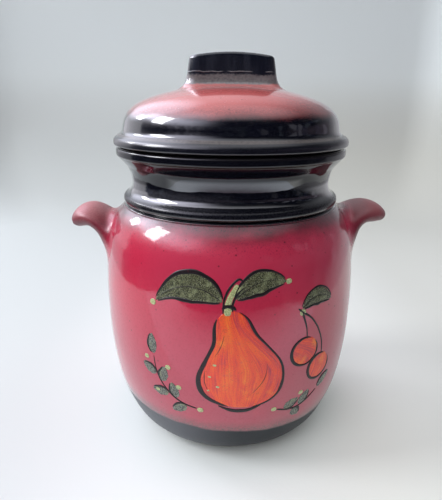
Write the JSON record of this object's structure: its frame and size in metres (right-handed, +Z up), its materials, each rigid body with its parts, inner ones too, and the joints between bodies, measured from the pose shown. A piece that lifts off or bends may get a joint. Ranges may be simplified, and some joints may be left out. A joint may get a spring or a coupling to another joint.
{
  "type": "rumtopf pot",
  "caption": "Round stoneware crock with a waisted collar, two horn-shaped lifting lugs and a loose domed lid with a bar knob.",
  "frame": {"origin": "on the pot's axis in the plane the foot ring stands on", "axes": "+Z up along the pot's axis, the lugs on -X and +X, the decorated front facing -Y"},
  "size_m": [0.2565, 0.2032, 0.3],
  "materials": {
    "barrel_glaze": "gloss",
    "black_glaze": "gloss",
    "lug_glaze": "gloss",
    "lid_glaze": "gloss",
    "bare_clay": "matte",
    "enamel_decor": "gloss"
  },
  "bodies": {
    "pot": {"pot_body": "barrel_glaze", "neck_collar": "black_glaze", "left_handle": "lug_glaze", "right_handle": "lug_glaze"},
    "lid": {"lid_dome": "lid_glaze", "lid_flange": "bare_clay", "lid_knob": "black_glaze"}
  },
  "joints": [
    {"name": "lid_lift", "type": "slide", "parent": "pot", "child": "lid", "axis": [0, 0, 1], "range_m": [0, 0.12]}
  ]
}
